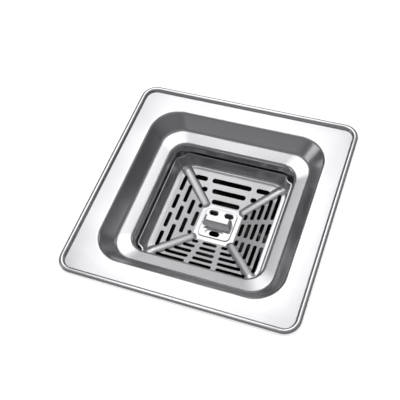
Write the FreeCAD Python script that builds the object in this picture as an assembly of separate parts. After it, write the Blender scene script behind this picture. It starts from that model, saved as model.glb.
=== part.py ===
import FreeCAD, Part
import math
import os

# Square floor drain with a lift-out strainer basket and a bell trap, in millimetres.
# Origin: on the drain's axis, in the plane of the flange's underside, which beds on the floor.
# +Z is up, X and Y run along the sides of the square plate.

# Flange plate and its raised edge bead
plate_side = 200.0
plate_corner = 14.0
sheet = 1.2
bead_width = 5.5
bead_height = 2.7
bead_round = 2.6

# Recess: sloped wall, ledge that falls to the well, steep well and seat. Drops are measured from the plate's top,
# widths inward from the plate's edge.
flange_width = 21.75
recess_corner = 24.0
recess_wall_run = 10.0
ledge_drop = 13.3
ledge_corner = 19.0
ledge_width = 12.5
ledge_fall = 2.9
well_corner = 14.0
well_taper = 0.8
seat_width = 8.75
neck_corner = 9.0
neck_length = 8.0
recess_edge_round = 3.6
ledge_foot_round = 4.6
well_edge_round = 3.6
seat_round = 1.8

# Strainer basket
basket_sheet = 0.8
basket_clearance = 1.6
basket_rim_drop = 26.5
basket_foot_drop = 38.5
basket_wall_taper = 2.2
basket_corner = 11.0
basket_foot_width = 4.0
basket_foot_corner = 17.0
basket_foot_round = 2.2
panel_corner = 12.0
platform_side = 36.4
platform_corner = 4.0
platform_drop = 45.5
ridge_half_width = 5.0
ridge_height = 1.5
ridge_setback = 1.9

# Slots of the four panels. Rows go outward from the platform as far as the panel is wide enough.
ridge_margin = 5.0
row_start = 3.1
near_slot_width = 3.4
near_row_pitch = 5.9
near_slot_length = 13.0
near_slot_growth = 1.75
near_slot_gap = 4.0
far_slot_width = 4.4
far_row_pitch = 9.4
far_slot_length = 26.0
far_slot_growth = 5.5
far_slot_gap = 4.4
side_slot_width = 3.4
side_row_pitch = 7.1
side_slot_length = 15.5
side_slot_gap = 4.2

# Handle pressing on the platform
handle_plate_side = 29.0
handle_plate_corner = 4.5
handle_sheet = 1.0
bridge_width = 24.5
bridge_depth = 7.0
bridge_height = 7.0
bridge_round = 2.8
lip_length = 4.4
lip_angle = 35.0
lip_bend = 2.4
rear_hole_length = 9.0
rear_hole_width = 5.6
rear_hole_spread = 14.0
front_hole_length = 17.0
front_hole_width = 6.2
hole_margin = 1.6
platform_hole_inset = 0.5
platform_front_length = 9.5

# Rubber seat pads, one at the middle of each side
pad_thickness = 1.2
pad_width = 2.2
pad_length = 16.0

# Trap bowl and outlet tail
bowl_depth = 62.0
bowl_draft = 5.9
bowl_floor_corner = 17.0
bowl_floor_round = 7.0
tail_radius = 25.0
tail_wall = 1.5
thread_step = 1.0
thread_runout = 3.0
tail_flange_reach = 7.0
tail_flange = 2.5
spigot_length = 27.0
upstand_height = 42.0
tail_hole_clearance = 0.4
upper_gasket = 2.0
lower_gasket = 3.0
lower_gasket_reach = 8.0
slip_washer = 1.5
slip_washer_reach = 9.0
backnut_height = 12.0
backnut_wall = 8.0

# Bell trap, hung on a weld stud under the platform
stud_radius = 3.0
stud_flange_radius = 6.0
stud_flange = 1.0
sleeve_radius = 5.5
sleeve_length = 9.0
bell_sheet = 1.6
bell_radius = 34.0
bell_height = 42.0
bell_shoulder = 7.0
bell_rim_bead = 1.1
bell_washer_radius = 8.0
bell_washer = 1.2
nut_flats = 10.0
nut_height = 5.0
stud_overrun = 2.0
hole_clearance = 0.2

# Mortar anchors, spot-welded to the outside of the well
anchor_width = 20.0
anchor_sheet = 1.5
anchor_drop = 5.0
anchor_leg = 14.0
anchor_reach = 22.0
anchor_claw = 7.0

# Sizes and levels worked out from the ones above
recess_side = plate_side - 2 * flange_width
ledge_side = recess_side - 2 * recess_wall_run
well_side = ledge_side - 2 * ledge_width
seat_side = well_side - 2 * well_taper
neck_side = seat_side - 2 * seat_width
bowl_floor_side = neck_side + 2 * sheet - 2 * bowl_draft
thread_radius = tail_radius + thread_step
tail_flange_radius = thread_radius + tail_flange_reach
plate_top = sheet
ledge_z = plate_top - ledge_drop
well_z = ledge_z - ledge_fall
foot_z = plate_top - basket_foot_drop
rim_z = plate_top - basket_rim_drop
platform_z = plate_top - platform_drop
seat_z = foot_z - basket_sheet - pad_thickness
neck_z = seat_z - sheet - neck_length
bowl_top_z = seat_z - sheet
bowl_floor_z = neck_z - bowl_depth
tail_flange_z = bowl_floor_z + upper_gasket
backnut_top_z = bowl_floor_z - sheet - lower_gasket - slip_washer
spigot_z = backnut_top_z - backnut_height - thread_runout - spigot_length
stud_top_z = platform_z - basket_sheet
bell_top_z = stud_top_z - stud_flange - sleeve_length
basket_side = well_side - 2 * basket_clearance
foot_side = basket_side - 2 * basket_sheet - 2 * basket_wall_taper
panel_side = foot_side - 2 * basket_foot_width
up = FreeCAD.Vector(0, 0, 1)


def vec(x, y, z):
    return FreeCAD.Vector(x, y, z)


def square_wire(side, radius, z):
    """A square with rounded corners, centred on the axis, as one closed wire."""
    half = side / 2
    inner = half - radius
    edges = []
    for turn in range(4):
        spin = FreeCAD.Rotation(up, 90 * turn)
        start = spin.multVec(vec(half, -inner, z))
        end = spin.multVec(vec(half, inner, z))
        corner_end = spin.multVec(vec(inner, half, z))
        corner_mid = spin.multVec(vec(inner + radius * math.sqrt(0.5), inner + radius * math.sqrt(0.5), z))
        edges.append(Part.LineSegment(start, end).toShape())
        edges.append(Part.Arc(end, corner_mid, corner_end).toShape())
    return Part.Wire(edges)


def tub(side_1, radius_1, z_1, side_2, radius_2, z_2):
    """A block between two rounded squares, one above the other."""
    wires = [square_wire(side_1, radius_1, z_1), square_wire(side_2, radius_2, z_2)]
    return Part.makeLoft(wires, True, True)


def block(side, radius, z_low, z_high):
    return Part.Face(square_wire(side, radius, z_low)).extrude(vec(0, 0, z_high - z_low))


def tube(outer, inner, z_low, z_high):
    body = Part.makeCylinder(outer, z_high - z_low, vec(0, 0, z_low))
    return body.cut(Part.makeCylinder(inner, z_high - z_low + 2, vec(0, 0, z_low - 1)))


def hexagon(flats, z_low, z_high, chamfer):
    """A hexagonal prism whose corners are turned off by a cone at both ends."""
    corner = flats / math.sqrt(3)
    points = [vec(corner * math.cos(math.radians(60 * k)), corner * math.sin(math.radians(60 * k)), z_low)
              for k in range(7)]
    prism = Part.Face(Part.makePolygon(points)).extrude(vec(0, 0, z_high - z_low))
    half_high = (z_high - z_low) / 2
    reach = flats / 2 + half_high / chamfer
    lower = Part.makeCone(flats / 2, reach, half_high, vec(0, 0, z_low))
    upper = Part.makeCone(reach, flats / 2, half_high, vec(0, 0, z_low + half_high))
    return prism.common(lower.fuse(upper))


def fuse_all(shapes):
    return shapes[0].multiFuse(shapes[1:]).removeSplitter()


def ring_edges(shape, side, z):
    """The edges of a rounded square of this side that lie at this height."""
    found = []
    for edge in shape.Edges:
        box = edge.BoundBox
        reach = max(abs(box.XMin), abs(box.XMax), abs(box.YMin), abs(box.YMax))
        level = abs(box.ZMin - z) < 1e-3 and abs(box.ZMax - z) < 1e-3
        if level and abs(reach - side / 2) < 0.02:
            found.append(edge)
    return found


def round_ring(shape, radius, side, z):
    return shape.makeFillet(radius, ring_edges(shape, side, z))


def save(name, shape):
    shape = shape.removeSplitter()
    print(name, "valid", shape.isValid(), "solids", len(shape.Solids), "volume", round(shape.Volume))
    shape.exportStep("parts/" + name + ".step")


# The drawn sheet is the space under its lower skin less the space over its upper skin.

def wall_offset(run, drop):
    """Sideways distance between the two skins of a sloped wall."""
    return sheet * math.hypot(run, drop) / drop


wall_shift = wall_offset(recess_wall_run, ledge_drop) - sheet * recess_wall_run / ledge_drop


def pan_upper_space():
    """Everything above the pan's upper skin, out to the bead."""
    inside_bead = plate_side - 2 * bead_width
    air = block(inside_bead, plate_corner - bead_width, plate_top, plate_top + bead_height + 5)
    recess = tub(ledge_side, ledge_corner, ledge_z, recess_side, recess_corner, plate_top)
    ledge = tub(well_side, well_corner, well_z, ledge_side, ledge_corner, ledge_z)
    well = tub(seat_side, well_corner - well_taper, seat_z, well_side, well_corner, well_z)
    neck = block(neck_side, neck_corner, neck_z - 1, seat_z)
    space = fuse_all([air, recess, ledge, well, neck])
    space = round_ring(space, recess_edge_round, recess_side, plate_top)
    space = round_ring(space, ledge_foot_round, ledge_side, ledge_z)
    space = round_ring(space, well_edge_round, well_side, well_z)
    return round_ring(space, seat_round, seat_side, seat_z)


def pan_lower_body():
    """Everything above the pan's lower skin."""
    shift = 2 * wall_shift
    slab = block(plate_side, plate_corner, 0, plate_top + bead_height)
    recess = tub(ledge_side + shift, ledge_corner + wall_shift, ledge_z - sheet,
                 recess_side + shift, recess_corner + wall_shift, 0)
    ledge = tub(well_side + 2 * sheet, well_corner + sheet, well_z - sheet,
                ledge_side + shift, ledge_corner + wall_shift, ledge_z - sheet)
    well = tub(seat_side + 2 * sheet, well_corner - well_taper + sheet, seat_z - sheet,
               well_side + 2 * sheet, well_corner + sheet, well_z - sheet)
    neck = block(neck_side + 2 * sheet, neck_corner + sheet, neck_z, seat_z - sheet)
    body = fuse_all([slab, recess, ledge, well, neck])
    body = round_ring(body, bead_round, plate_side, plate_top + bead_height)
    body = round_ring(body, recess_edge_round - sheet, recess_side + shift, 0)
    body = round_ring(body, ledge_foot_round + sheet, ledge_side + shift, ledge_z - sheet)
    body = round_ring(body, well_edge_round - sheet, well_side + 2 * sheet, well_z - sheet)
    return round_ring(body, seat_round + sheet, seat_side + 2 * sheet, seat_z - sheet)


def flange_pan():
    pan = pan_lower_body().cut(pan_upper_space()).removeSplitter()
    pan = round_ring(pan, bead_round, plate_side - 2 * bead_width, plate_top + bead_height)
    groove_outer = plate_side - 2 * sheet
    groove_inner = plate_side - 2 * bead_width + 2 * sheet
    groove = block(groove_outer, plate_corner - sheet, -1, bead_height)
    core = block(groove_inner, plate_corner - bead_width + sheet, -2, bead_height + 1)
    return pan.cut(groove.cut(core))


def trap_bowl():
    """Square drawn bowl whose collar laps the pan's neck and closes under the seat."""
    collar_side = neck_side + 2 * sheet
    collar_corner = neck_corner + sheet
    inside = tub(bowl_floor_side, bowl_floor_corner, bowl_floor_z, collar_side, collar_corner, neck_z)
    inside = inside.fuse(block(collar_side, collar_corner, neck_z, bowl_top_z + 1)).removeSplitter()
    inside = round_ring(inside, bowl_floor_round, bowl_floor_side, bowl_floor_z)
    floor_z = bowl_floor_z - sheet
    outside = tub(bowl_floor_side + 2 * sheet, bowl_floor_corner + sheet, floor_z,
                  collar_side + 2 * sheet, collar_corner + sheet, neck_z)
    outside = outside.fuse(block(collar_side + 2 * sheet, collar_corner + sheet, neck_z, bowl_top_z))
    outside = outside.removeSplitter()
    outside = round_ring(outside, bowl_floor_round + sheet, bowl_floor_side + 2 * sheet, floor_z)
    hole = Part.makeCylinder(thread_radius + tail_hole_clearance, 2 * sheet + 2, vec(0, 0, floor_z - 1))
    return outside.cut(inside).cut(hole)


def outlet_tail():
    """Upstand pipe, clamping flange, thicker thread and plain spigot in one turned tube."""
    bore = tail_radius - tail_wall
    pipe = tube(tail_radius, bore, spigot_z, tail_flange_z + upstand_height)
    thread = tube(thread_radius, bore, spigot_z + spigot_length, tail_flange_z)
    flange = tube(tail_flange_radius, bore, tail_flange_z, tail_flange_z + tail_flange)
    return fuse_all([pipe, thread, flange])


def backnut():
    low = backnut_top_z - backnut_height
    nut = hexagon(2 * (thread_radius + backnut_wall), low, backnut_top_z, 1.4)
    return nut.cut(Part.makeCylinder(thread_radius, backnut_height + 2, vec(0, 0, low - 1)))


def well_skin(z):
    """Distance from the axis to the outside of the well's wall at this height."""
    return seat_side / 2 + sheet + well_taper * (z - seat_z + sheet) / (well_z - seat_z)


def anchor_lug():
    """Bent strip: leg flat on the well's wall, arm outward under the ledge, claw turned up."""
    top = well_z - sheet - anchor_drop
    low = top - anchor_leg
    tip = well_skin(low) + anchor_reach
    outline = [vec(well_skin(top), 0, top), vec(well_skin(low), 0, low), vec(tip, 0, low),
               vec(tip, 0, low + anchor_claw), vec(tip - anchor_sheet, 0, low + anchor_claw),
               vec(tip - anchor_sheet, 0, low + anchor_sheet),
               vec(well_skin(low) + anchor_sheet, 0, low + anchor_sheet),
               vec(well_skin(top) + anchor_sheet, 0, top), vec(well_skin(top), 0, top)]
    strip = Part.Face(Part.makePolygon(outline)).extrude(vec(0, anchor_width, 0))
    strip.translate(vec(0, -anchor_width / 2, 0))
    return strip


def seat_pad():
    """Rubber strip with round ends, under the basket's foot."""
    x_low = panel_side / 2 + 0.2
    flat = pad_length - pad_width
    body = Part.makeBox(pad_width, flat, pad_thickness, vec(x_low, -flat / 2, seat_z))
    for side in (-1, 1):
        centre = vec(x_low + pad_width / 2, side * flat / 2, seat_z)
        body = body.fuse(Part.makeCylinder(pad_width / 2, pad_thickness, centre))
    return body


# Strainer basket

def basket_inner_space():
    rim = basket_side - 2 * basket_sheet
    wall = tub(foot_side, basket_foot_corner, foot_z, rim, basket_corner, rim_z)
    above = block(rim, basket_corner, rim_z, rim_z + 5)
    dish = tub(platform_side, platform_corner, platform_z, panel_side, panel_corner, foot_z)
    space = fuse_all([wall, above, dish])
    return round_ring(space, basket_foot_round, foot_side, foot_z)


def basket_outer_body():
    wall = tub(foot_side + 2 * basket_sheet, basket_foot_corner + basket_sheet, foot_z - basket_sheet,
               basket_side, basket_corner + basket_sheet, rim_z)
    dish = tub(platform_side, platform_corner, platform_z - basket_sheet,
               panel_side, panel_corner, foot_z - basket_sheet)
    body = fuse_all([wall, dish])
    low_ring = foot_side + 2 * basket_sheet
    return round_ring(body, basket_foot_round + basket_sheet, low_ring, foot_z - basket_sheet)


def ridge_radius():
    """Radius of the round bead that stands proud by the ridge's height and shows its full width."""
    return (ridge_half_width ** 2 + ridge_height ** 2) / (2 * ridge_height)


def corner_reach(side, radius):
    """Distance from the axis to a rounded square's corner, along the diagonal."""
    return (side / 2 - radius) * math.sqrt(2) + radius


def ridge_rod(radius, turn):
    """A round rod under one diagonal: platform corner, panel corner, foot corner, then up to the rim."""
    sink = ridge_radius() - ridge_height
    rim = basket_side - 2 * basket_sheet
    near = corner_reach(platform_side, platform_corner) + ridge_setback
    bend = corner_reach(panel_side, panel_corner)
    foot = corner_reach(foot_side, basket_foot_corner) + sink
    top = corner_reach(rim, basket_corner) + sink
    stations = [(near, platform_z - sink), (bend, foot_z - sink), (foot, foot_z - sink), (top, rim_z + 2)]
    spin = FreeCAD.Rotation(up, 45 + 90 * turn)
    points = [spin.multVec(vec(x, 0, z)) for x, z in stations]
    pieces = [Part.makeSphere(radius, point) for point in points[:3]]
    for start, end in zip(points, points[1:]):
        along = end.sub(start)
        pieces.append(Part.makeCylinder(radius, along.Length, start, along))
    return fuse_all(pieces)


def row_spans(distance, length, width, gap):
    """Slots of one row, as (from, to) on one side of the middle, cut short before the ridge."""
    usable = distance - ridge_margin
    spans = []
    start = length / 2 + gap
    while usable - start >= width:
        rest = usable - (start + length)
        end = start + length if rest >= gap + width else usable
        spans.append((start, end))
        start = end + gap
    return spans


def slot_prism(length, width, z_low, z_high):
    """A round-ended prism along X, centred on the axis."""
    half = width / 2
    straight = length / 2 - half
    lines = [Part.LineSegment(vec(-straight, -half, z_low), vec(straight, -half, z_low)).toShape(),
             Part.Arc(vec(straight, -half, z_low), vec(length / 2, 0, z_low), vec(straight, half, z_low)).toShape(),
             Part.LineSegment(vec(straight, half, z_low), vec(-straight, half, z_low)).toShape(),
             Part.Arc(vec(-straight, half, z_low), vec(-length / 2, 0, z_low), vec(-straight, -half, z_low)).toShape()]
    return Part.Face(Part.Wire(lines)).extrude(vec(0, 0, z_high - z_low))


def slot_cutter(low, high, distance, width):
    """A round-ended prism along Y, at this distance from the axis."""
    cutter = slot_prism(high - low, width, platform_z - basket_sheet - 3, foot_z + 3)
    cutter.rotate(vec(0, 0, 0), up, 90)
    cutter.translate(vec(distance, (low + high) / 2, 0))
    return cutter


def row_count(pitch, width):
    """How many rows fit between the platform and the panel's outer edge."""
    first = platform_side / 2 + row_start
    return 1 + int((panel_side / 2 - first - width / 2) / pitch)


def panel_cutters(turn, pitch, width, length, growth, gap, staggered):
    """All slots of the panel that faces this quarter turn."""
    cutters = []
    for row in range(row_count(pitch, width)):
        distance = platform_side / 2 + row_start + pitch * row
        this_length = length + growth * row
        middle = min(this_length, 2 * (distance - ridge_margin))
        if staggered and row % 2 == 1:
            spans = [(gap / 2, gap / 2 + this_length)]
            start = gap / 2 + this_length + gap
            usable = distance - ridge_margin
            if usable - start >= width:
                spans.append((start, usable))
        else:
            cutters.append(slot_cutter(-middle / 2, middle / 2, distance, width))
            spans = row_spans(distance, middle, width, gap)
        for low, high in spans:
            cutters.append(slot_cutter(low, high, distance, width))
            cutters.append(slot_cutter(-high, -low, distance, width))
    for cutter in cutters:
        cutter.rotate(vec(0, 0, 0), up, 90 * turn)
    return cutters


def strainer_basket():
    body = basket_outer_body()
    shell = body.cut(basket_inner_space())
    for turn in range(4):
        shell = shell.fuse(ridge_rod(ridge_radius(), turn).common(body))
    for turn in range(4):
        shell = shell.cut(ridge_rod(ridge_radius() - basket_sheet, turn))
    near = (near_row_pitch, near_slot_width, near_slot_length, near_slot_growth, near_slot_gap)
    far = (far_row_pitch, far_slot_width, far_slot_length, far_slot_growth, far_slot_gap)
    side = (side_row_pitch, side_slot_width, side_slot_length, 0, side_slot_gap)
    panels = ((0, near, False), (1, far, False), (2, side, True), (3, near, False))
    for turn, pattern, staggered in panels:
        shell = shell.cut(Part.makeCompound(panel_cutters(turn, *pattern, staggered)))
    low, high = platform_z - basket_sheet - 1, platform_z + 1
    front_width = front_hole_width - 2 * platform_hole_inset
    holes = [flat_slot(platform_front_length, front_width, 0, front_hole_y(), low, high)]
    rear_length = rear_hole_length - 2 * platform_hole_inset
    rear_width = rear_hole_width - 2 * platform_hole_inset
    for side in (-1, 1):
        holes.append(flat_slot(rear_length, rear_width, side * rear_hole_spread / 2, rear_hole_y(), low, high))
    return shell.cut(Part.makeCompound(holes))


# Handle pressing

def rear_hole_y():
    return handle_plate_side / 2 - hole_margin - rear_hole_width / 2


def front_hole_y():
    return -(handle_plate_side / 2 - hole_margin - front_hole_width / 2)


def flat_slot(length, width, x, y, z_low, z_high):
    """A round-ended hole along X."""
    cutter = slot_prism(length, width, z_low, z_high)
    cutter.translate(vec(x, y, 0))
    return cutter


def arch_wire(half, height, radius, y, z_low):
    """A round-shouldered arch in the XZ plane, closed along its foot."""
    top = z_low + height
    bend = radius * (1 - math.sqrt(0.5))
    points = [vec(-half, y, z_low), vec(-half, y, top - radius), vec(-half + radius, y, top),
              vec(half - radius, y, top), vec(half, y, top - radius), vec(half, y, z_low)]
    left = Part.Arc(points[1], vec(-half + bend, y, top - bend), points[2]).toShape()
    right = Part.Arc(points[3], vec(half - bend, y, top - bend), points[4]).toShape()
    lines = [Part.LineSegment(points[0], points[1]).toShape(), left,
             Part.LineSegment(points[2], points[3]).toShape(), right,
             Part.LineSegment(points[4], points[5]).toShape(),
             Part.LineSegment(points[5], points[0]).toShape()]
    return Part.Wire(lines)


def lip_wire(half, low, top, y):
    """A rounded rectangle in the XZ plane: the lip seen from the front."""
    big, small = bridge_round, bridge_round * 0.8
    edges = []
    corners = [(-1, top, -1, big), (1, top, -1, big), (1, low, 1, small), (-1, low, 1, small)]
    ends = []
    for side, z, inward, radius in corners:
        bend = radius * (1 - math.sqrt(0.5))
        upright = vec(side * half, y, z + inward * radius)
        middle = vec(side * (half - bend), y, z + inward * bend)
        level = vec(side * (half - radius), y, z)
        edges.append(Part.Arc(upright, middle, level).toShape())
        ends.append((upright, level))
    edges.append(Part.LineSegment(ends[0][1], ends[1][1]).toShape())
    edges.append(Part.LineSegment(ends[1][0], ends[2][0]).toShape())
    edges.append(Part.LineSegment(ends[2][1], ends[3][1]).toShape())
    edges.append(Part.LineSegment(ends[3][0], ends[0][0]).toShape())
    return Part.Wire(Part.__sortEdges__(edges))


def lip_profile(x, low, top):
    """The bent front edge seen from the side: a bend and a straight lip that leans outward."""
    angle = math.radians(lip_angle)
    centre = vec(x, lip_bend - bridge_depth / 2, top - lip_bend)
    inner_bend = lip_bend - handle_sheet

    def around(radius, turn):
        return centre.add(vec(0, -radius * math.sin(turn), radius * math.cos(turn)))

    swing = math.pi / 2 - angle
    outer = [around(lip_bend, swing * step / 2) for step in range(3)]
    inner = [around(inner_bend, swing * step / 2) for step in range(3)]
    down = vec(0, -math.sin(angle), -math.cos(angle))
    reach = (outer[2].z - low) / math.cos(angle)
    tip_outer = outer[2].add(down * reach)
    tip_inner = inner[2].add(down * reach)
    edges = [Part.Arc(*outer).toShape(), Part.LineSegment(outer[2], tip_outer).toShape(),
             Part.LineSegment(tip_outer, tip_inner).toShape(), Part.LineSegment(tip_inner, inner[2]).toShape(),
             Part.Arc(*reversed(inner)).toShape(), Part.LineSegment(inner[0], outer[0]).toShape()]
    return Part.Face(Part.Wire(edges))


def handle_bridge():
    """Strap on two legs, with a lip bent down along its front edge."""
    base_z = platform_z + handle_sheet
    half = bridge_width / 2
    y_strap = lip_bend - bridge_depth / 2
    y_lip = -bridge_depth
    top = base_z + bridge_height
    outer = Part.Face(arch_wire(half, bridge_height, bridge_round, y_strap, base_z))
    inner = Part.Face(arch_wire(half - handle_sheet, bridge_height - handle_sheet,
                                bridge_round - handle_sheet, y_strap, base_z))
    length = vec(0, bridge_depth - lip_bend, 0)
    strap = outer.extrude(length).cut(inner.extrude(length))
    low = top - lip_length
    lip = lip_profile(-half, low, top).extrude(vec(bridge_width, 0, 0))
    front = Part.Face(lip_wire(half, low - handle_sheet, top, y_lip))
    lip = lip.common(front.extrude(vec(0, y_strap - y_lip, 0)))
    return strap.fuse(lip)


def handle_plate():
    base_z = platform_z + handle_sheet
    plate = block(handle_plate_side, handle_plate_corner, platform_z, base_z)
    plate = round_ring(plate, handle_sheet * 0.6, handle_plate_side, base_z)
    low, high = platform_z - 1, base_z + 1
    cutters = [flat_slot(front_hole_length, front_hole_width, 0, front_hole_y(), low, high)]
    for side in (-1, 1):
        x = side * rear_hole_spread / 2
        cutters.append(flat_slot(rear_hole_length, rear_hole_width, x, rear_hole_y(), low, high))
    return plate.cut(Part.makeCompound(cutters)).fuse(handle_bridge())


# Bell trap

def hanger_stud():
    length = stud_flange + sleeve_length + bell_sheet + bell_washer + nut_height + stud_overrun
    rod = Part.makeCylinder(stud_radius, length, vec(0, 0, stud_top_z - length))
    return rod.fuse(Part.makeCylinder(stud_flange_radius, stud_flange, vec(0, 0, stud_top_z - stud_flange)))


def spacer_sleeve():
    return tube(sleeve_radius, stud_radius + hole_clearance, bell_top_z, bell_top_z + sleeve_length)


def bell_cup():
    """Moulded cup, open below, with a round shoulder and a thickened rim."""
    low = bell_top_z - bell_height
    outside = Part.makeCylinder(bell_radius, bell_height, vec(0, 0, low))
    outside = outside.makeFillet(bell_shoulder, [e for e in outside.Edges if e.BoundBox.ZMin > low + 1])
    inner_radius = bell_radius - bell_sheet
    inner_top = bell_height - bell_sheet
    inside = Part.makeCylinder(inner_radius, inner_top, vec(0, 0, low))
    inside = inside.makeFillet(bell_shoulder - bell_sheet, [e for e in inside.Edges if e.BoundBox.ZMin > low + 1])
    rim = Part.makeTorus(bell_radius - bell_sheet / 2, bell_rim_bead, vec(0, 0, low + bell_rim_bead))
    hole = Part.makeCylinder(stud_radius + hole_clearance, 10, vec(0, 0, bell_top_z - 5))
    return outside.cut(inside).fuse(rim).cut(hole)


def bell_nut():
    top = bell_top_z - bell_sheet - bell_washer
    nut = hexagon(nut_flats, top - nut_height, top, 1.4)
    return nut.cut(Part.makeCylinder(stud_radius, nut_height + 2, vec(0, 0, top - nut_height - 1)))


def ring_between(outer, inner, top, thickness):
    return tube(outer, inner, top - thickness, top)


os.makedirs("parts", exist_ok=True)
save("flange_pan", flange_pan())
save("trap_bowl", trap_bowl())
save("outlet_tail", outlet_tail())
save("tail_gasket_upper", ring_between(tail_flange_radius, thread_radius, tail_flange_z, upper_gasket))
lower_top = bowl_floor_z - sheet
lower_outer = thread_radius + lower_gasket_reach
save("tail_gasket_lower", ring_between(lower_outer, thread_radius, lower_top, lower_gasket))
washer_outer = thread_radius + slip_washer_reach
washer_inner = thread_radius + hole_clearance
save("slip_washer", ring_between(washer_outer, washer_inner, lower_top - lower_gasket, slip_washer))
save("backnut", backnut())
for quarter, side_name in enumerate(("east", "north", "west", "south")):
    for piece_name, piece in (("anchor_lug_", anchor_lug()), ("seat_pad_", seat_pad())):
        piece.rotate(vec(0, 0, 0), up, 90 * quarter)
        save(piece_name + side_name, piece)
save("strainer_basket", strainer_basket())
save("handle_plate", handle_plate())
save("hanger_stud", hanger_stud())
save("spacer_sleeve", spacer_sleeve())
save("bell_cup", bell_cup())
washer_z = bell_top_z - bell_sheet
save("bell_washer", ring_between(bell_washer_radius, stud_radius + hole_clearance, washer_z, bell_washer))
save("bell_nut", bell_nut())
print("bell top", bell_top_z, "upstand lip", tail_flange_z + upstand_height, "spigot end", spigot_z)
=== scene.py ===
# %% [markdown]
# # A square stainless floor drain
# The drain is a pressed flange with a stepped recess, a punched strainer basket that lifts out by a
# small bridge handle, and a bell trap with a threaded outlet below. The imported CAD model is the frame:
# it gives every place and size, and this script adds fine surfaces, materials, light and a camera.
# %% load the frame
import math
import bpy
from mathutils import Matrix, Vector


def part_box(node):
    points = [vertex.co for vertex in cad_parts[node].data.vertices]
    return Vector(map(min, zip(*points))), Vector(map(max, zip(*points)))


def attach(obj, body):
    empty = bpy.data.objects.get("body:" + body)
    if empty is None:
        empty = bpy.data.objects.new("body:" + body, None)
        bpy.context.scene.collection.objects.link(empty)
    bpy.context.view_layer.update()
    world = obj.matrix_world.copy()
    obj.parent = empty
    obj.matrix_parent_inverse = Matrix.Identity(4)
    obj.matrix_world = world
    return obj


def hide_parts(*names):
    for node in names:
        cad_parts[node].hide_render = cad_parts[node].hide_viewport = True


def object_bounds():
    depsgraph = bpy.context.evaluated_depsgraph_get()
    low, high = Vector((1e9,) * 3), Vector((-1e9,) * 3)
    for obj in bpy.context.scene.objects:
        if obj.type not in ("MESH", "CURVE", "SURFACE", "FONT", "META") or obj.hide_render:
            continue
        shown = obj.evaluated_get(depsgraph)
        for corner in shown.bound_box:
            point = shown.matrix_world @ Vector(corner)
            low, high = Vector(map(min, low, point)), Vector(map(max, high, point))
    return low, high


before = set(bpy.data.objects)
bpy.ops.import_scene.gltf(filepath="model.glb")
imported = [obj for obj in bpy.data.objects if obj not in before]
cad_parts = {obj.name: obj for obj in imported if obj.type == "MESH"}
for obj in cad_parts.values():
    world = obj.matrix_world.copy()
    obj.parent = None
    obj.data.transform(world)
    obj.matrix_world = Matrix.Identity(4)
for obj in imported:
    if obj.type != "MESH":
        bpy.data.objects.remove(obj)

cad_low, cad_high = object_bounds()
scene = bpy.context.scene
MM = 0.001
print("CAD box", [round(v, 4) for v in cad_low], [round(v, 4) for v in cad_high])

# %% [markdown]
# ## Colour and node helpers
# Maker's colours are written as sRGB hex values, which people can look up, and shaders work in linear
# light, so one function turns one into the other. Every node is added by one small function that takes
# the node's settings and the values or links for its sockets: the trees below then read like a list.
# %% colour and node helpers


def linear(code):
    """An sRGB hex colour as linear RGBA."""
    parts = [int(code[k:k + 2], 16) / 255 for k in (1, 3, 5)]
    return tuple(c / 12.92 if c <= 0.04045 else ((c + 0.055) / 1.055) ** 2.4 for c in parts) + (1.0,)


def add(tree, kind, settings=None, **sockets):
    """Adds a node; each socket gets a value, or a link when the value is another node's output."""
    node = tree.nodes.new(kind)
    for name, value in (settings or {}).items():
        setattr(node, name, value)
    for name, value in sockets.items():
        key = int(name[1:]) if name[0] == "_" else name.replace("_", " ")
        socket = node.inputs[key]
        if isinstance(value, bpy.types.NodeSocket):
            tree.links.new(value, socket)
        else:
            socket.default_value = value
    return node


def new_material(name):
    material = bpy.data.materials.new(name)
    material.use_nodes = True
    material.node_tree.nodes.clear()
    return material, material.node_tree


# %% [markdown]
# ## Rolled stainless sheet
# Cold-rolled stainless, called 2B in the trade, is a grey mirror seen through a faint haze. The rollers
# leave lines along the sheet and the pickling leaves a very fine grain. A metal shader with a middling
# roughness gives the haze; stretched noise gives the roll lines and fine noise gives the grain, both as
# small changes of roughness, height and tint. Real grain is under 0.05 mm, so it is drawn coarser here.
# %% steel finishes
CLOUD_SCALE = 28.0
BUMP_HEIGHT = 0.02 * MM


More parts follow.
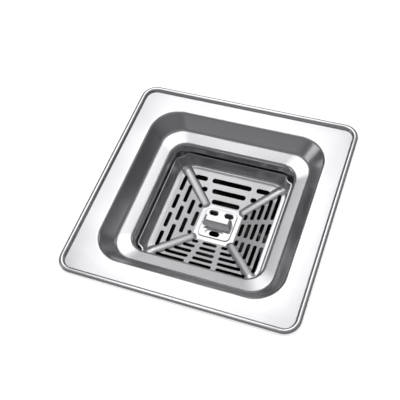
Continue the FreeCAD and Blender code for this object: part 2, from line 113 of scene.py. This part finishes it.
def steel(name, tint, dark, roughness, spread, line_mm, grain_mm, line_bump, grain_bump, along):
    """A steel finish. along stretches the lines on one axis; spread is how far the roughness wanders."""
    material, tree = new_material(name)
    place = add(tree, "ShaderNodeTexCoord")
    drawn = add(tree, "ShaderNodeMapping", Vector=place.outputs["Object"], Scale=along)
    lines = add(tree, "ShaderNodeTexNoise", Vector=drawn.outputs[0], Scale=1 / (line_mm * MM),
                Detail=4.0, Roughness=0.6)
    grain = add(tree, "ShaderNodeTexNoise", Vector=place.outputs["Object"], Scale=1 / (grain_mm * MM),
                Detail=3.0, Roughness=0.7)
    cloud = add(tree, "ShaderNodeTexNoise", Vector=place.outputs["Object"], Scale=CLOUD_SCALE, Detail=2.0,
                Roughness=0.5)
    mixed = add(tree, "ShaderNodeMath", {"operation": "MULTIPLY_ADD"}, _0=lines.outputs[0], _1=0.6,
                _2=cloud.outputs[0])
    rough = add(tree, "ShaderNodeMapRange", Value=mixed.outputs[0], From_Min=0.5, From_Max=1.1,
                To_Min=roughness - spread, To_Max=roughness + spread)
    colour = add(tree, "ShaderNodeMix", {"data_type": "RGBA"}, Factor=grain.outputs[0],
                 A=linear(dark), B=linear(tint))
    high = add(tree, "ShaderNodeBump", Height=lines.outputs[0], Strength=line_bump, Distance=BUMP_HEIGHT)
    fine = add(tree, "ShaderNodeBump", Height=grain.outputs[0], Strength=grain_bump, Distance=BUMP_HEIGHT,
               Normal=high.outputs[0])
    shader = add(tree, "ShaderNodeBsdfPrincipled", Base_Color=colour.outputs[2], Metallic=1.0,
                 Roughness=rough.outputs[0], Normal=fine.outputs[0])
    add(tree, "ShaderNodeOutputMaterial", Surface=shader.outputs[0])
    return material


# The flange sheet is bright rolled, so its flat band reflects the key box almost white.
satin_pan = steel("rolled_stainless_pan", tint="#e6e6e7", dark="#dadadc", roughness=0.24, spread=0.03,
                  line_mm=0.9, grain_mm=0.35, line_bump=0.12, grain_bump=0.05, along=(0.03, 1.0, 1.0))
# The basket is thinner sheet with a grainier skin, stretched where the press drew it.
bright_basket = steel("rolled_stainless_basket", tint="#e0e0e1", dark="#ccccce", roughness=0.3,
                      spread=0.04, line_mm=0.7, grain_mm=0.4, line_bump=0.2, grain_bump=0.12,
                      along=(1.0, 0.08, 1.0))
polished_handle = steel("bright_stainless_handle", tint="#e8e8e9", dark="#dadadc", roughness=0.3,
                        spread=0.04, line_mm=0.5, grain_mm=0.3, line_bump=0.15, grain_bump=0.1,
                        along=(0.06, 1.0, 1.0))
# Deep drawing stretches the bowl's skin upright and leaves it duller than the flange.
drawn_bowl = steel("drawn_stainless_bowl", tint="#cfcfd0", dark="#b6b6b8", roughness=0.36, spread=0.07,
                   line_mm=1.1, grain_mm=0.5, line_bump=1.0, grain_bump=0.8, along=(1.0, 1.0, 0.05))
# Turning leaves rings round the axis; noise stretched across X and Y, and fine along Z, draws them.
turned_tail = steel("turned_stainless_tail", tint="#d6d6d7", dark="#c2c2c4", roughness=0.3, spread=0.05,
                    line_mm=0.4, grain_mm=0.4, line_bump=1.4, grain_bump=0.4, along=(0.02, 0.02, 1.0))
# Pickling leaves the lugs matt and a little uneven.
pickled_lug = steel("pickled_stainless_lug", tint="#bdbdbc", dark="#a2a2a1", roughness=0.46, spread=0.08,
                    line_mm=1.2, grain_mm=0.6, line_bump=0.6, grain_bump=1.2, along=(0.2, 1.0, 1.0))
# Zinc plating is smoother than the sheet and slightly blue.
plated_bolt = steel("zinc_plated_fastener", tint="#d9dde0", dark="#bcc2c8", roughness=0.22, spread=0.05,
                    line_mm=0.5, grain_mm=0.6, line_bump=0.5, grain_bump=0.4, along=(1.0, 1.0, 0.3))
print("steel finishes", len([m for m in bpy.data.materials if "stainless" in m.name]))

# %% [markdown]
# ## Brass, rubber and nylon
# The backnut is machined brass: warm metal with fine tool rings and a little dull tarnish in patches.
# Gaskets and seat pads are black moulded rubber, matt, with talc that greys the high grain. The bell is
# black moulded polypropylene with a faint spark-eroded grain. The slip washer is natural nylon, a creamy
# plastic that lets a little light in.
# %% brass, rubber and nylon


def machined_brass():
    material, tree = new_material("machined_brass_nut")
    place = add(tree, "ShaderNodeTexCoord")
    rings = add(tree, "ShaderNodeMapping", Vector=place.outputs["Object"], Scale=(0.05, 0.05, 1.0))
    tool = add(tree, "ShaderNodeTexNoise", Vector=rings.outputs[0], Scale=1 / (0.5 * MM), Detail=3.0)
    patch = add(tree, "ShaderNodeTexNoise", Vector=place.outputs["Object"], Scale=60.0, Detail=4.0)
    edge = add(tree, "ShaderNodeMapRange", Value=patch.outputs[0], From_Min=0.4, From_Max=0.7)
    colour = add(tree, "ShaderNodeMix", {"data_type": "RGBA"}, Factor=edge.outputs[0],
                 A=linear("#d9b878"), B=linear("#b08a4c"))
    rough = add(tree, "ShaderNodeMapRange", Value=patch.outputs[0], From_Min=0.3, From_Max=0.75,
                To_Min=0.22, To_Max=0.45)
    bump = add(tree, "ShaderNodeBump", Height=tool.outputs[0], Strength=0.8, Distance=0.03 * MM)
    shader = add(tree, "ShaderNodeBsdfPrincipled", Base_Color=colour.outputs[2], Metallic=1.0,
                 Roughness=rough.outputs[0], Normal=bump.outputs[0])
    add(tree, "ShaderNodeOutputMaterial", Surface=shader.outputs[0])
    return material


def moulded(name, low, high, roughness, grain_mm, bump_strength, ior, soft=0.0):
    """A moulded finish. soft is how much light enters and spreads under the skin."""
    material, tree = new_material(name)
    place = add(tree, "ShaderNodeTexCoord")
    grain = add(tree, "ShaderNodeTexNoise", Vector=place.outputs["Object"], Scale=1 / (grain_mm * MM),
                Detail=4.0, Roughness=0.65)
    colour = add(tree, "ShaderNodeMix", {"data_type": "RGBA"}, Factor=grain.outputs[0],
                 A=linear(low), B=linear(high))
    rough = add(tree, "ShaderNodeMapRange", Value=grain.outputs[0], From_Min=0.3, From_Max=0.7,
                To_Min=roughness - 0.08, To_Max=roughness + 0.08)
    bump = add(tree, "ShaderNodeBump", Height=grain.outputs[0], Strength=bump_strength, Distance=0.05 * MM)
    shader = add(tree, "ShaderNodeBsdfPrincipled", Base_Color=colour.outputs[2], Roughness=rough.outputs[0],
                 IOR=ior, Normal=bump.outputs[0])
    shader.inputs["Subsurface Weight"].default_value = soft
    shader.inputs["Subsurface Scale"].default_value = 1.5 * MM
    add(tree, "ShaderNodeOutputMaterial", Surface=shader.outputs[0])
    return material


brass = machined_brass()
rubber = moulded("moulded_black_rubber", "#141415", "#2b2b2d", roughness=0.62, grain_mm=0.6,
                 bump_strength=0.8, ior=1.52)
bell_plastic = moulded("moulded_black_polypropylene", "#101011", "#1b1b1d", roughness=0.45, grain_mm=0.5,
                       bump_strength=0.5, ior=1.49)
nylon = moulded("moulded_natural_nylon", "#d8d3c4", "#e9e5d8", roughness=0.42, grain_mm=0.8,
                bump_strength=0.3, ior=1.53, soft=0.2)
print("soft and brass finishes", brass.name, rubber.name, nylon.name)

# %% [markdown]
# ## Finishes on the CAD pieces
# Each piece of the frame keeps its own mesh and takes a finish by its name. The names say what a piece
# is, so a short table from the start of a name to a finish covers them all.
# %% give the frame its finishes
finishes = {"flange_pan": satin_pan, "trap_bowl": drawn_bowl, "outlet_tail": turned_tail, "backnut": brass,
            "slip_washer": nylon, "tail_gasket": rubber, "seat_pad": rubber, "anchor_lug": pickled_lug,
            "strainer_basket": bright_basket, "handle_plate": polished_handle, "bell_cup": bell_plastic,
            "hanger_stud": plated_bolt, "spacer_sleeve": plated_bolt, "bell_washer": plated_bolt,
            "bell_nut": plated_bolt}
for node_name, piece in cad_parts.items():
    finish = next(finishes[start] for start in finishes if node_name.startswith(start))
    piece.data.materials.clear()
    piece.data.materials.append(finish)
print("finished", len(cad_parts), "frame pieces")

# %% [markdown]
# ## Geometry Nodes helpers
# Thread turns and weld spots repeat, so two small node trees draw them. Each tree has named inputs and is
# set up by a modifier; the result is then copied to a plain mesh, so nothing is left to work out later.
# %% geometry nodes helpers


def new_tree(name, inputs):
    """A Geometry Nodes tree with a geometry input and output and these named inputs."""
    tree = bpy.data.node_groups.new(name, "GeometryNodeTree")
    tree.interface.new_socket("Geometry", in_out="INPUT", socket_type="NodeSocketGeometry")
    tree.interface.new_socket("Geometry", in_out="OUTPUT", socket_type="NodeSocketGeometry")
    for label, kind in inputs:
        tree.interface.new_socket(label, in_out="INPUT", socket_type=kind)
    return tree, add(tree, "NodeGroupInput").outputs


def maths(tree, operation, *values):
    settings = {"operation": operation}
    return add(tree, "ShaderNodeMath", settings, **{"_%d" % k: v for k, v in enumerate(values)}).outputs[0]


def close_tree(tree, geometry, finish):
    real = add(tree, "GeometryNodeRealizeInstances", Geometry=geometry)
    dressed = add(tree, "GeometryNodeSetMaterial", Geometry=real.outputs[0], Material=finish)
    add(tree, "NodeGroupOutput", Geometry=dressed.outputs[0])


def run_tree(mesh, tree, values, name, finish, smooth_angle=35.0):
    """Runs the tree on a mesh and returns a plain object made from the result."""
    holder = bpy.data.objects.new(name + "_source", mesh)
    scene.collection.objects.link(holder)
    modifier = holder.modifiers.new("nodes", "NODES")
    modifier.node_group = tree
    for item in tree.interface.items_tree:
        if item.in_out == "INPUT" and item.name in values:
            modifier[item.identifier] = values[item.name]
    bpy.context.view_layer.update()
    made = bpy.data.meshes.new_from_object(holder.evaluated_get(bpy.context.evaluated_depsgraph_get()))
    holder.modifiers.remove(modifier)
    bpy.data.objects.remove(holder)
    made.name = name
    made.materials.clear()
    made.materials.append(finish)
    made.shade_smooth()
    made.set_sharp_from_angle(angle=math.radians(smooth_angle))
    piece = bpy.data.objects.new(name, made)
    scene.collection.objects.link(piece)
    return piece


print("node helpers ready")

# %% [markdown]
# ## Threaded outlet tail
# The tail is turned from one tube. Its profile is spun round the axis in small steps, then a tree pushes
# the thick part's skin inward along a helix: how deep depends on height less the turn's angle, folded
# back and forth into a V. The crest stays at the true thread size.
# %% outlet tail
tail_low, tail_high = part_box("outlet_tail")
nut_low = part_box("backnut")[0]
BORE = 23.5 * MM
PIPE = 25.0 * MM
THREAD = 26.0 * MM
CLAMP = tail_high.x
CLAMP_THICK = 2.5 * MM
RUN_OUT = 3.0 * MM
UPSTAND = 42.0 * MM
SHOULDER = nut_low.z - RUN_OUT
CLAMP_LOW = tail_high.z - UPSTAND
EDGE = 0.4 * MM
THREAD_PITCH = 1.6 * MM
THREAD_DEPTH = 0.75 * MM
RING_STEP = 0.18 * MM
SKIN_BAND = 0.05 * MM
ROUND_STEPS = 160


def spun_mesh(name, outline, steps):
    """Spins a closed outline of (radius, height) round the axis; anticlockwise, so faces look outward."""
    mesh = bpy.data.meshes.new(name)
    turns = [2 * math.pi * k / steps for k in range(steps)]
    points = [(r * math.cos(t), r * math.sin(t), z) for t in turns for r, z in outline]
    count = len(outline)
    faces = []
    for k in range(steps):
        here, there = k * count, (k + 1) % steps * count
        for j in range(count):
            after = (j + 1) % count
            faces.append((here + j, there + j, there + after, here + after))
    mesh.from_pydata(points, [], faces)
    return mesh


def stretch(radius, low, high, step):
    """Evenly spaced points up a straight wall."""
    count = max(1, round((high - low) / step))
    return [(radius, low + (high - low) * k / count) for k in range(count + 1)]


outline = [(BORE, tail_low.z + EDGE), (BORE + EDGE, tail_low.z), (PIPE - EDGE, tail_low.z),
           (PIPE, tail_low.z + EDGE), (PIPE, SHOULDER)]
outline += stretch(THREAD, SHOULDER, CLAMP_LOW, RING_STEP)
outline += [(CLAMP - EDGE, CLAMP_LOW), (CLAMP, CLAMP_LOW + EDGE), (CLAMP, CLAMP_LOW + CLAMP_THICK - EDGE),
            (CLAMP - EDGE, CLAMP_LOW + CLAMP_THICK), (PIPE, CLAMP_LOW + CLAMP_THICK),
            (PIPE, tail_high.z - EDGE), (PIPE - EDGE, tail_high.z), (BORE + EDGE, tail_high.z),
            (BORE, tail_high.z - EDGE)]
tail_mesh = spun_mesh("outlet_tail_blank", outline, ROUND_STEPS)

cutting, given = new_tree("cut_thread", [("Radius", "NodeSocketFloat"), ("Depth", "NodeSocketFloat"),
                                         ("Pitch", "NodeSocketFloat"), ("Low", "NodeSocketFloat"),
                                         ("High", "NodeSocketFloat")])
place = add(cutting, "GeometryNodeInputPosition").outputs[0]
parts = add(cutting, "ShaderNodeSeparateXYZ", Vector=place).outputs
angle = maths(cutting, "DIVIDE", maths(cutting, "ARCTAN2", parts["Y"], parts["X"]), 2 * math.pi)
helix = maths(cutting, "SUBTRACT", maths(cutting, "DIVIDE", parts["Z"], given["Pitch"]), angle)
groove = maths(cutting, "MULTIPLY", maths(cutting, "PINGPONG", helix, 0.5), 2.0)
flat = add(cutting, "ShaderNodeCombineXYZ", X=parts["X"], Y=parts["Y"]).outputs[0]
reach = add(cutting, "ShaderNodeVectorMath", {"operation": "LENGTH"}, _0=flat).outputs["Value"]
outward = add(cutting, "ShaderNodeVectorMath", {"operation": "NORMALIZE"}, _0=flat).outputs[0]
off_skin = maths(cutting, "ABSOLUTE", maths(cutting, "SUBTRACT", reach, given["Radius"]))
skin = maths(cutting, "LESS_THAN", off_skin, SKIN_BAND)
above = maths(cutting, "DIVIDE", maths(cutting, "SUBTRACT", parts["Z"], given["Low"]), given["Pitch"])
below = maths(cutting, "DIVIDE", maths(cutting, "SUBTRACT", given["High"], parts["Z"]), given["Pitch"])
fade = add(cutting, "ShaderNodeClamp", Value=maths(cutting, "MINIMUM", above, below)).outputs[0]
depth = maths(cutting, "MULTIPLY", maths(cutting, "MULTIPLY", groove, given["Depth"]),
              maths(cutting, "MULTIPLY", skin, fade))
push = add(cutting, "ShaderNodeVectorMath", {"operation": "SCALE"}, _0=outward,
           Scale=maths(cutting, "MULTIPLY", depth, -1.0)).outputs[0]
moved = add(cutting, "GeometryNodeSetPosition", Geometry=given["Geometry"], Offset=push).outputs[0]
close_tree(cutting, moved, turned_tail)

thread_sizes = {"Radius": THREAD, "Depth": THREAD_DEPTH, "Pitch": THREAD_PITCH, "Low": SHOULDER,
                "High": CLAMP_LOW}
tail = run_tree(tail_mesh, cutting, thread_sizes, "threaded_outlet_tail", turned_tail)
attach(tail, "drain_body")
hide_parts("outlet_tail")
print("thread turns", round((CLAMP_LOW - SHOULDER) / THREAD_PITCH, 1), "faces", len(tail.data.polygons))

# %% [markdown]
# ## Weld spots
# The bowl's collar is spot-welded to the pan's neck all round, and each lug by two spots. One tree lays a
# row of shallow nuggets along one side and copies it to the four sides; it is run once for each place.
# %% weld spots
collar_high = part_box("trap_bowl")[1]
lug_low, lug_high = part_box("anchor_lug_east")
NUGGET_SIZE = 1.7 * MM
NUGGET_RISE = 0.28 * MM
COLLAR_SINK = 0.05 * MM
COLLAR_DROP = 4.0 * MM
LUG_FACE = 1.72 * MM
LUG_DROP = 6.0 * MM

spotting, given = new_tree("weld_spots", [("Count", "NodeSocketInt"), ("Pitch", "NodeSocketFloat"),
                                          ("Reach", "NodeSocketFloat"), ("Level", "NodeSocketFloat"),
                                          ("Size", "NodeSocketFloat"), ("Rise", "NodeSocketFloat")])
length = maths(spotting, "MULTIPLY", maths(spotting, "SUBTRACT", given["Count"], 1.0), given["Pitch"])
start = add(spotting, "ShaderNodeCombineXYZ", X=given["Reach"], Y=maths(spotting, "MULTIPLY", length, -0.5),
            Z=given["Level"]).outputs[0]
step = add(spotting, "ShaderNodeCombineXYZ", Y=given["Pitch"]).outputs[0]
row = add(spotting, "GeometryNodeMeshLine", Count=given["Count"], Start_Location=start,
          Offset=step).outputs[0]
ball = add(spotting, "GeometryNodeMeshUVSphere", Segments=20, Rings=10, Radius=1.0).outputs[0]
shape = add(spotting, "ShaderNodeCombineXYZ", X=given["Rise"], Y=given["Size"], Z=given["Size"]).outputs[0]
nuggets = add(spotting, "GeometryNodeInstanceOnPoints", Points=row, Instance=ball, Scale=shape).outputs[0]
corners = add(spotting, "GeometryNodeMeshLine", Count=4, Offset=(0.0, 0.0, 0.0)).outputs[0]
index = add(spotting, "GeometryNodeInputIndex").outputs[0]
quarter = add(spotting, "ShaderNodeCombineXYZ", Z=maths(spotting, "MULTIPLY", index, math.pi / 2)).outputs[0]
turn = add(spotting, "FunctionNodeEulerToRotation", Euler=quarter).outputs[0]
sides = add(spotting, "GeometryNodeInstanceOnPoints", Points=corners, Instance=nuggets,
            Rotation=turn).outputs[0]
close_tree(spotting, sides, pickled_lug)

for name, count, pitch, reach, level in (
        ("collar_weld_spots", 7, 10.5 * MM, collar_high.x - COLLAR_SINK, collar_high.z - COLLAR_DROP),
        ("lug_weld_spots", 2, 10.0 * MM, lug_low.x + LUG_FACE, lug_high.z - LUG_DROP)):
    blank = bpy.data.meshes.new(name + "_blank")
    sizes = {"Count": count, "Pitch": pitch, "Reach": reach, "Level": level, "Size": NUGGET_SIZE,
             "Rise": NUGGET_RISE}
    spots = run_tree(blank, spotting, sizes, name, pickled_lug)
    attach(spots, "drain_body")
    print(name, "at", round(reach / MM, 1), "mm out")

# %% [markdown]
# ## Floor
# The drain stands on the end of its outlet, so the floor is a plain pale sheet at that height. It glows
# a little as well as catching light, which keeps it an even white as in a packshot.
# %% floor
FLOOR_SIZE = 60.0
FLOOR_GLOW = 0.8


def studio_floor():
    mesh = bpy.data.meshes.new("studio_floor")
    half = FLOOR_SIZE / 2
    level = cad_low.z
    corners = [(-half, -half, level), (half, -half, level), (half, half, level), (-half, half, level)]
    mesh.from_pydata(corners, [], [(0, 1, 2, 3)])
    material, tree = new_material("pale_studio_floor")
    shader = add(tree, "ShaderNodeBsdfPrincipled", Base_Color=linear("#fbfbf8"), Roughness=0.9)
    shader.inputs["Emission Color"].default_value = linear("#ffffff")
    shader.inputs["Emission Strength"].default_value = FLOOR_GLOW
    add(tree, "ShaderNodeOutputMaterial", Surface=shader.outputs[0])
    mesh.materials.append(material)
    floor = bpy.data.objects.new("studio_floor", mesh)
    scene.collection.objects.link(floor)


studio_floor()
print("floor", FLOOR_SIZE, "m wide at", round(cad_low.z, 4))

# %% [markdown]
# ## Light
# Steel shows what stands around it, so each soft box is placed where one part of the drain mirrors it.
# The key box lies over the far flange and ledge and turns them white. Two smaller boxes light the near
# and left basket panels, and the weaker ones give the sloped walls a soft grade. The room is dark at the
# horizon and grey overhead, so a surface that misses every box still reads as grey steel.
# %% soft boxes and room
BASKET = (0.0, 0.0, -0.03)


def soft_box(name, centre, size_x, size_y, glow, target=BASKET):
    """A lit rectangle; glow is how bright its face looks, so a mirror of it shows that value."""
    data = bpy.data.lights.new(name, "AREA")
    data.shape = "RECTANGLE"
    data.size = size_x
    data.size_y = size_y
    data.energy = glow * math.pi * size_x * size_y
    lamp = bpy.data.objects.new(name, data)
    lamp.location = centre
    aim = (Vector(target) - Vector(centre)).to_track_quat("-Z", "Y")
    lamp.rotation_euler = aim.to_euler()
    scene.collection.objects.link(lamp)


soft_box("key_box", centre=(-0.31, 0.61, 1.0), size_x=0.62, size_y=0.70, glow=1.7,
         target=(-0.31, 0.61, 0.0))
soft_box("panel_box", centre=(-0.27, 0.04, 1.0), size_x=0.30, size_y=0.24, glow=1.5,
         target=(-0.27, 0.04, 0.0))
soft_box("left_panel_box", centre=(0.22, 0.52, 1.0), size_x=0.26, size_y=0.44, glow=0.6,
         target=(0.22, 0.52, 0.0))
soft_box("far_box", centre=(-0.49, 1.60, 0.96), size_x=0.9, size_y=0.6, glow=0.55)
soft_box("front_box", centre=(-0.30, -1.70, 0.35), size_x=1.6, size_y=0.6, glow=0.2)
soft_box("left_box", centre=(-1.7, -0.7, 0.75), size_x=0.9, size_y=0.7, glow=0.7)
soft_box("right_box", centre=(1.0, 1.5, 0.75), size_x=0.5, size_y=0.5, glow=0.6)

world = bpy.data.worlds.new("studio_room")
world.use_nodes = True
world.node_tree.nodes.clear()
sky = add(world.node_tree, "ShaderNodeTexCoord")
split = add(world.node_tree, "ShaderNodeSeparateXYZ", Vector=sky.outputs["Generated"])
band = add(world.node_tree, "ShaderNodeValToRGB", Fac=split.outputs["Z"])
band.color_ramp.elements[0].position = 0.0
band.color_ramp.elements[0].color = linear("#333335")
band.color_ramp.elements[1].position = 1.0
band.color_ramp.elements[1].color = linear("#8e8e90")
room = add(world.node_tree, "ShaderNodeBackground", Color=band.outputs[0], Strength=1.0)
add(world.node_tree, "ShaderNodeOutputWorld", Surface=room.outputs[0])
scene.world = world
scene.view_settings.view_transform = "Standard"
print("soft boxes", len(bpy.data.lights))

# %% [markdown]
# ## Camera
# The camera stands in front of the drain, a little to its right, and looks down at about 56 degrees. It
# is turned on its own axis as well, so the plate stands slightly tilted in the frame. Its place comes
# from a distance, two angles and the roll, so each can be changed alone.
# %% camera
AZIMUTH = math.radians(29.7)
ELEVATION = math.radians(56.2)
ROLL = math.radians(-11.6)
DISTANCE = 591 * MM
SENSOR_MM = 36.0
LENS_MM = 64.8
SIDE_STEP = 10.4 * MM
RISE = 3.5 * MM
AIM_HEIGHT = 2 * MM


def camera_matrix():
    """Where the camera stands and how it is turned, worked out from the angles, distance and roll."""
    back = Vector((math.sin(AZIMUTH) * math.cos(ELEVATION), -math.cos(AZIMUTH) * math.cos(ELEVATION),
                   math.sin(ELEVATION)))
    right = Vector((math.cos(AZIMUTH), math.sin(AZIMUTH), 0.0))
    up = back.cross(right)
    turned_right = math.cos(ROLL) * right + math.sin(ROLL) * up
    turned_up = -math.sin(ROLL) * right + math.cos(ROLL) * up
    place = back * DISTANCE - turned_right * SIDE_STEP - turned_up * RISE
    place.z += AIM_HEIGHT
    turn = Matrix((turned_right, turned_up, back)).transposed()
    return Matrix.Translation(place) @ turn.to_4x4()


lens = bpy.data.cameras.new("studio_camera")
lens.sensor_width = SENSOR_MM
lens.lens = LENS_MM
lens.clip_start = 0.01
camera = bpy.data.objects.new("studio_camera", lens)
scene.collection.objects.link(camera)
camera.matrix_world = camera_matrix()
scene.camera = camera
print("camera at", [round(v, 3) for v in camera.location])
